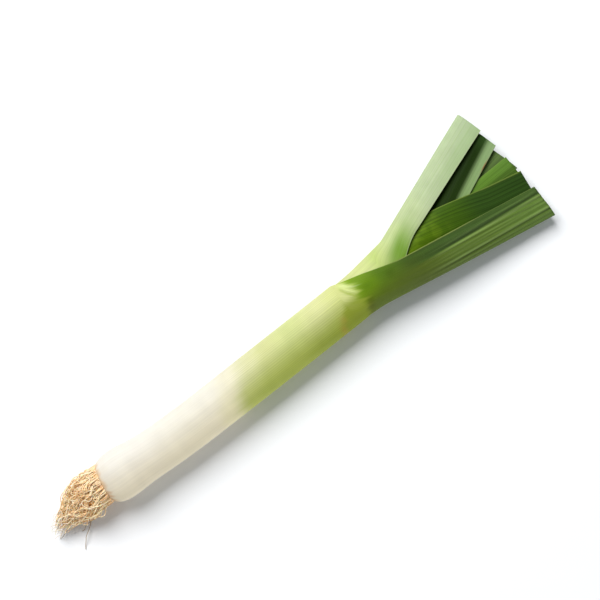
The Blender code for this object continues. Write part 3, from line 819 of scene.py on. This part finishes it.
# The thin roots. The first few are wisps, longer and paler, and kept in less.
fineRoot = {
    "count": 540, "steps": 34, "sides": 5, "thick": 0.00042, "thin": 0.00022, "stout": (0.75, 1.25),
    "length": (0.020, 0.054), "spread": 0.95, "floorGap": 0.0006,
    "wisps": 34, "wispLength": (0.050, 0.0600), "wispSlack": (0.9, 1.9),
    "waves": ((0.0030, 8, 16), (0.0013, 18, 32), (0.0004, 40, 60)),
    "dark": linear(240, 208, 160), "pale": linear(254, 238, 206), "deep": (linear(228, 172, 104), 0.8),
    "start": (linear(232, 186, 130), 0.6), "tail": (linear(230, 176, 114), 0.55), "tailShare": 0.65,
    "wispEnd": (linear(226, 218, 204), 1.0),
}


# Thin roots between the thick ones. On the left they curl at once, and on the right they leave
# the plate straight.
def fineRoots():
    chance = np.random.default_rng(roots["seed"] + 10)
    t = np.linspace(0, 1, fineRoot["steps"] + 1)[None, :]

    def draw(low, high):
        return chance.uniform(low, high, (fineRoot["count"], 1))

    start = fineRoot["spread"] * np.sqrt(draw(0.10, 1.0))
    turn = draw(0, math.tau)
    length = draw(*fineRoot["length"]) * (1.06 - 0.16 * start)
    slack = 1.0 + 0.30 * draw(0, 1) ** 3
    wisps = slice(0, fineRoot["wisps"])
    length[wisps] = draw(*fineRoot["wispLength"])[wisps]
    slack[wisps] = draw(*fineRoot["wispSlack"])[wisps]
    back = length * t
    begins = 0.0015 + 0.0065 * smoothStep(0.5 - 0.8 * np.cos(turn - 0.5)) * draw(0.6, 1.1)
    loose = smoothStep((back - begins) / 0.014)
    aside, height, radius = tuftSection(back)
    out = radius * (start + loose * draw(-0.35, 0.08))
    around = turn + loose * draw(-0.9, 0.9) * t
    y, z = aside + out * np.cos(around), height + out * np.sin(around)
    paths = behindPlate(back + roots["plateThickness"] / 3, y, z)
    paths = curl(paths, loose, t, roots["seed"] + 11, fineRoot["waves"])
    return keepIn(paths, slack, fineRoot["floorGap"]), start, t


fringe = {
    "count": 150, "rings": 9, "sides": 5, "plateRadius": 0.0154, "length": (0.002, 0.009),
    "flare": (-0.0004, 0.0012), "thick": 0.00055, "stout": (0.6, 1.3), "floorGap": 0.0006,
    "dark": linear(228, 184, 134), "pale": linear(248, 222, 184),
}


# Short stubs and scraps of skin round the plate's rim: near straight lines that flare out a little.
def fringeRoots():
    chance = np.random.default_rng(roots["seed"] + 20)
    t = np.linspace(0, 1, fringe["rings"])[None, :]
    turn = chance.uniform(0, math.tau, (fringe["count"], 1))
    length = chance.uniform(*fringe["length"], (fringe["count"], 1))
    back = length * t - 0.0006
    flare = chance.uniform(*fringe["flare"], (fringe["count"], 1))
    out = fringe["plateRadius"] - 0.0001 + flare * np.sin(2.4 * t)
    around = turn + chance.uniform(-0.12, 0.12, (fringe["count"], 1)) * t
    y = centreLine(0.0) + out * np.cos(around)
    z = np.maximum(plan["axisHeight"] + out * np.sin(around), fringe["floorGap"])
    x = baseSet(y) - roots["gap"] - 0.0003 - np.maximum(back, 0)
    return np.stack([x - plan["origin"], y, z], axis=-1), t


# Tapered tubes along centre lines, each closed at both ends, in one mesh. A ring's axes are carried
# along each line, so that the tube doesn't twist.
def makeTubes(name, paths, thick, sides, colours):
    count, rings, _ = paths.shape
    ahead = np.gradient(paths, axis=1)
    ahead /= np.linalg.norm(ahead, axis=2, keepdims=True) + 1e-12
    aside = np.empty_like(paths)
    carried = np.broadcast_to(np.array([0.3, 0.5, 0.8]), (count, 3))
    for k in range(rings):
        carried = carried - (carried * ahead[:, k]).sum(1, keepdims=True) * ahead[:, k]
        carried = carried / (np.linalg.norm(carried, axis=1, keepdims=True) + 1e-12)
        aside[:, k] = carried
    over = np.cross(ahead, aside)
    turn = np.arange(sides) / sides * math.tau
    ring = np.cos(turn)[:, None] * aside[:, :, None, :] + np.sin(turn)[:, None] * over[:, :, None, :]
    points = paths[:, :, None, :] + ring * thick[:, :, None, None]
    points[..., 2] = np.maximum(points[..., 2], 0.0001)
    ids = np.arange(count * rings * sides).reshape(count, rings, sides)
    wrapped = np.concatenate([ids, ids[:, :, :1]], axis=2)
    corners = [wrapped[:, :-1, :-1], wrapped[:, 1:, :-1], wrapped[:, 1:, 1:], wrapped[:, :-1, 1:]]
    faces = np.stack([corner.ravel() for corner in corners], axis=1).tolist()
    faces += ids[:, 0, :].tolist() + ids[:, -1, ::-1].tolist()
    return finishMesh(name, points.reshape(-1, 3), faces, np.repeat(colours.reshape(-1, 3), sides, axis=0))


# A straight taper from thick to thin along roots, each thicker or thinner by its own share.
def taper(form, t, stout):
    return (form["thick"] + (form["thin"] - form["thick"]) * t) * stout


# The thick roots as tubes: the rule's lines with curls, paler or darker by chance, brown at the plate.
def makeThickRoots():
    paths, loose = thickRoots()
    t = np.linspace(0, 1, roots["steps"] + 1)[None, :]
    paths = curl(paths, loose, t, roots["seed"] + 1, roots["waves"])
    regular = roots["count"]
    paths[:regular] = keepIn(paths[:regular], roots["slack"], roots["floorGap"])
    paths[regular:] = curl(paths[regular:], loose[regular:], t, roots["seed"] + 4, roots["strayWaves"])
    paths[..., 2] = np.maximum(paths[..., 2], roots["lowest"])
    chance = np.random.default_rng(roots["seed"] + 2)
    stout = chance.uniform(*roots["stout"], (len(paths), 1))
    stout[regular:] = roots["strayStout"]
    tone = chance.uniform(0, 1, (len(paths), 1))
    shade = layOver(mix(roots["dark"], roots["pale"], tone), roots["start"], fadeOut(t, 0.10, 0.10))
    shade[regular:] = layOver(shade[regular:], roots["strayEnd"], fadeIn(t, 0.45, 0.25))
    return makeTubes("thick_roots", paths, taper(roots, t, stout), roots["sides"], shade)


# The thin roots as tubes: darker within the tuft, at the plate and on most tails.
def makeFineRoots():
    paths, start, t = fineRoots()
    chance = np.random.default_rng(roots["seed"] + 12)
    stout = chance.uniform(*fineRoot["stout"], (len(paths), 1))
    tone = chance.uniform(0, 1, (len(paths), 1))
    shade = mix(fineRoot["dark"], fineRoot["pale"], tone)
    shade = layOver(shade, fineRoot["deep"], fadeOut(start, 0.62, 0.4))
    shade = layOver(shade, fineRoot["start"], fadeOut(t, 0.10, 0.10))
    shade = layOver(shade, fineRoot["tail"], fadeIn(t, 0.35, 0.3) * (tone < fineRoot["tailShare"]))
    wisps = slice(0, fineRoot["wisps"])
    shade[wisps] = layOver(shade[wisps], fineRoot["wispEnd"], fadeIn(t, 0.6, 0.2))
    return makeTubes("fine_roots", paths, taper(fineRoot, t, stout), fineRoot["sides"], shade)


# The rim's stubs as tubes that thin to half.
def makeFringe():
    paths, t = fringeRoots()
    chance = np.random.default_rng(roots["seed"] + 21)
    thick = fringe["thick"] * chance.uniform(*fringe["stout"], (len(paths), 1)) * (1 - 0.5 * t)
    tone = chance.uniform(0, 1, (len(paths), 1))
    shade = np.broadcast_to(mix(fringe["dark"], fringe["pale"], tone), paths.shape)
    return makeTubes("root_fringe", paths, thick, fringe["sides"], shade)


# The plate and the knot behind it: pairs of distance behind the plate and radius, each span cut up
# evenly, and three waves round it as shares of the radius, with their rates round and along.
knot = {
    "profile": [(0.0, 0.0145), (0.0004, 0.0152), (0.0014, 0.0154), (0.0026, 0.0150), (0.0034, 0.0140),
                (0.0050, 0.0134), (0.0100, 0.0134), (0.0160, 0.0128), (0.0230, 0.0114),
                (0.0300, 0.0088), (0.0370, 0.0050)],
    "sides": 96, "cuts": 5, "floorGap": 0.0008,
    "waves": [(0.05, 17, 900), (0.04, 31, -1500), (0.03, 53, 400)], "smoothTo": 0.003,
    "colours": [(0.0, linear(230, 192, 148)), (0.004, linear(226, 176, 118)), (0.012, linear(224, 168, 102)),
                (0.040, linear(220, 162, 96))],
}


# The plate and the knot of root stubs behind it, as one turned body with a rough skin.
def makeCore():
    turn = np.linspace(0, math.tau, knot["sides"], endpoint=False)[None, :]
    cuts = knot["cuts"]
    finer = [(back0 + (back1 - back0) * k / cuts, out0 + (out1 - out0) * k / cuts)
             for (back0, out0), (back1, out1) in zip(knot["profile"], knot["profile"][1:])
             for k in range(cuts)]
    back = np.array([place for place, size in finer])[:, None]
    out = np.array([size for place, size in finer])[:, None]
    rough = sum(size * np.sin(around * turn + rate * back) for size, around, rate in knot["waves"])
    out = out * (1 + rough * fadeIn(back, knot["smoothTo"], 0.004))
    aside, height, radius = tuftSection(back)
    y = aside + out * np.cos(turn)
    z = np.maximum(height + out * np.sin(turn), knot["floorGap"])
    rings = behindPlate(back, y, z)
    ids = np.arange(rings.shape[0] * rings.shape[1]).reshape(rings.shape[:2])
    faces = quads(np.concatenate([ids, ids[:, :1]], axis=1)) + [ids[0].tolist(), ids[-1].tolist()]
    shade = stops(np.repeat(back.ravel(), knot["sides"]), knot["colours"])
    return finishMesh("root_plate_and_knot", rings.reshape(-1, 3), faces, shade)


paints = [paintOuter, paintSecond, paintThird, paintFourth, paintFifth, paintSixth]
for leaf, paint in zip(leaves, paints):
    dress(makeLeaf(leaf, paint), leaf["node"], leafMaterial(leaf))

skin = rootMaterial()
for make in (makeThickRoots, makeFineRoots, makeFringe, makeCore):
    dress(make(), "root_plate_with_roots", skin)

# The camera looks straight down on the leek, turned so that the shaft rises to the upper right.
view = {"centre": (0.0904, 0.02575, 0.015), "turn": 38.0, "distance": 1.133, "lens": 85.0}
right = Vector((math.cos(math.radians(view["turn"])), -math.sin(math.radians(view["turn"])), 0))
up = Vector((math.sin(math.radians(view["turn"])), math.cos(math.radians(view["turn"])), 0))
camera = bpy.data.objects.new("camera", bpy.data.cameras.new("camera"))
camera.data.lens = view["lens"]
camera.data.sensor_width = 36.0
camera.data.clip_start = 0.01
turned = Matrix((right, up, Vector((0, 0, 1)))).transposed().to_4x4()
turned.translation = Vector(view["centre"]) + Vector((0, 0, view["distance"]))
camera.matrix_world = turned
bpy.context.scene.collection.objects.link(camera)
bpy.context.scene.camera = camera
print("set the camera")

ground = {"reach": 4, "inputs": {"Base Color": (0.915, 0.925, 0.94, 1), "Roughness": 0.9}}
reach = ground["reach"]
floorMesh = bpy.data.meshes.new("floor")
floorMesh.from_pydata([(-reach, -reach, 0), (reach, -reach, 0), (reach, reach, 0), (-reach, reach, 0)],
                      [], [(0, 1, 2, 3)])
floor = bpy.data.objects.new("floor", floorMesh)
bpy.context.scene.collection.objects.link(floor)
white = bpy.data.materials.new("floor_white")
white.use_nodes = True
setInputs(white.node_tree.nodes["Principled BSDF"], ground["inputs"])
floor.data.materials.append(white)
print("laid the floor")

# Heights in degrees, distances and sizes in metres, powers in watts. The card fills in the shadows
# from the side away from the key.
light = {
    "level": (-0.60, 0.80), "keyHeight": 50.0, "keyAway": 3.00, "keySize": (1.75, 1.75), "keyPower": 118.0,
    "keyColour": (1, 1, 1), "cardHeight": 6.0, "cardAway": 1.50, "cardSize": (1.60, 0.24),
    "cardPower": 13.0, "cardColour": (1.0, 0.985, 0.96), "sky": 0.25, "skyColour": (0.90, 0.95, 1.0, 1),
}


# A flat light that faces the leek, from a direction over the floor, by its name in the dictionary.
def areaLight(name, level):
    lamp = bpy.data.lights.new(name, "AREA")
    lamp.energy = light[name + "Power"]
    lamp.shape = "RECTANGLE"
    lamp.size, lamp.size_y = light[name + "Size"]
    lamp.color = light[name + "Colour"]
    raised = math.radians(light[name + "Height"])
    offset = level.normalized() * math.cos(raised) + Vector((0, 0, math.sin(raised)))
    offset = offset * light[name + "Away"]
    made = bpy.data.objects.new(name, lamp)
    made.location = Vector(view["centre"]) + offset
    made.rotation_euler = offset.to_track_quat("Z", "Y").to_euler()
    bpy.context.scene.collection.objects.link(made)


toLight = light["level"][0] * right + light["level"][1] * up
areaLight("key", toLight)
areaLight("card", -toLight)
world = bpy.data.worlds.new("studio")
world.use_nodes = True
setInputs(world.node_tree.nodes["Background"], {"Color": light["skyColour"], "Strength": light["sky"]})
bpy.context.scene.world = world
bpy.context.scene.view_settings.view_transform = "Standard"
print("set the lights")
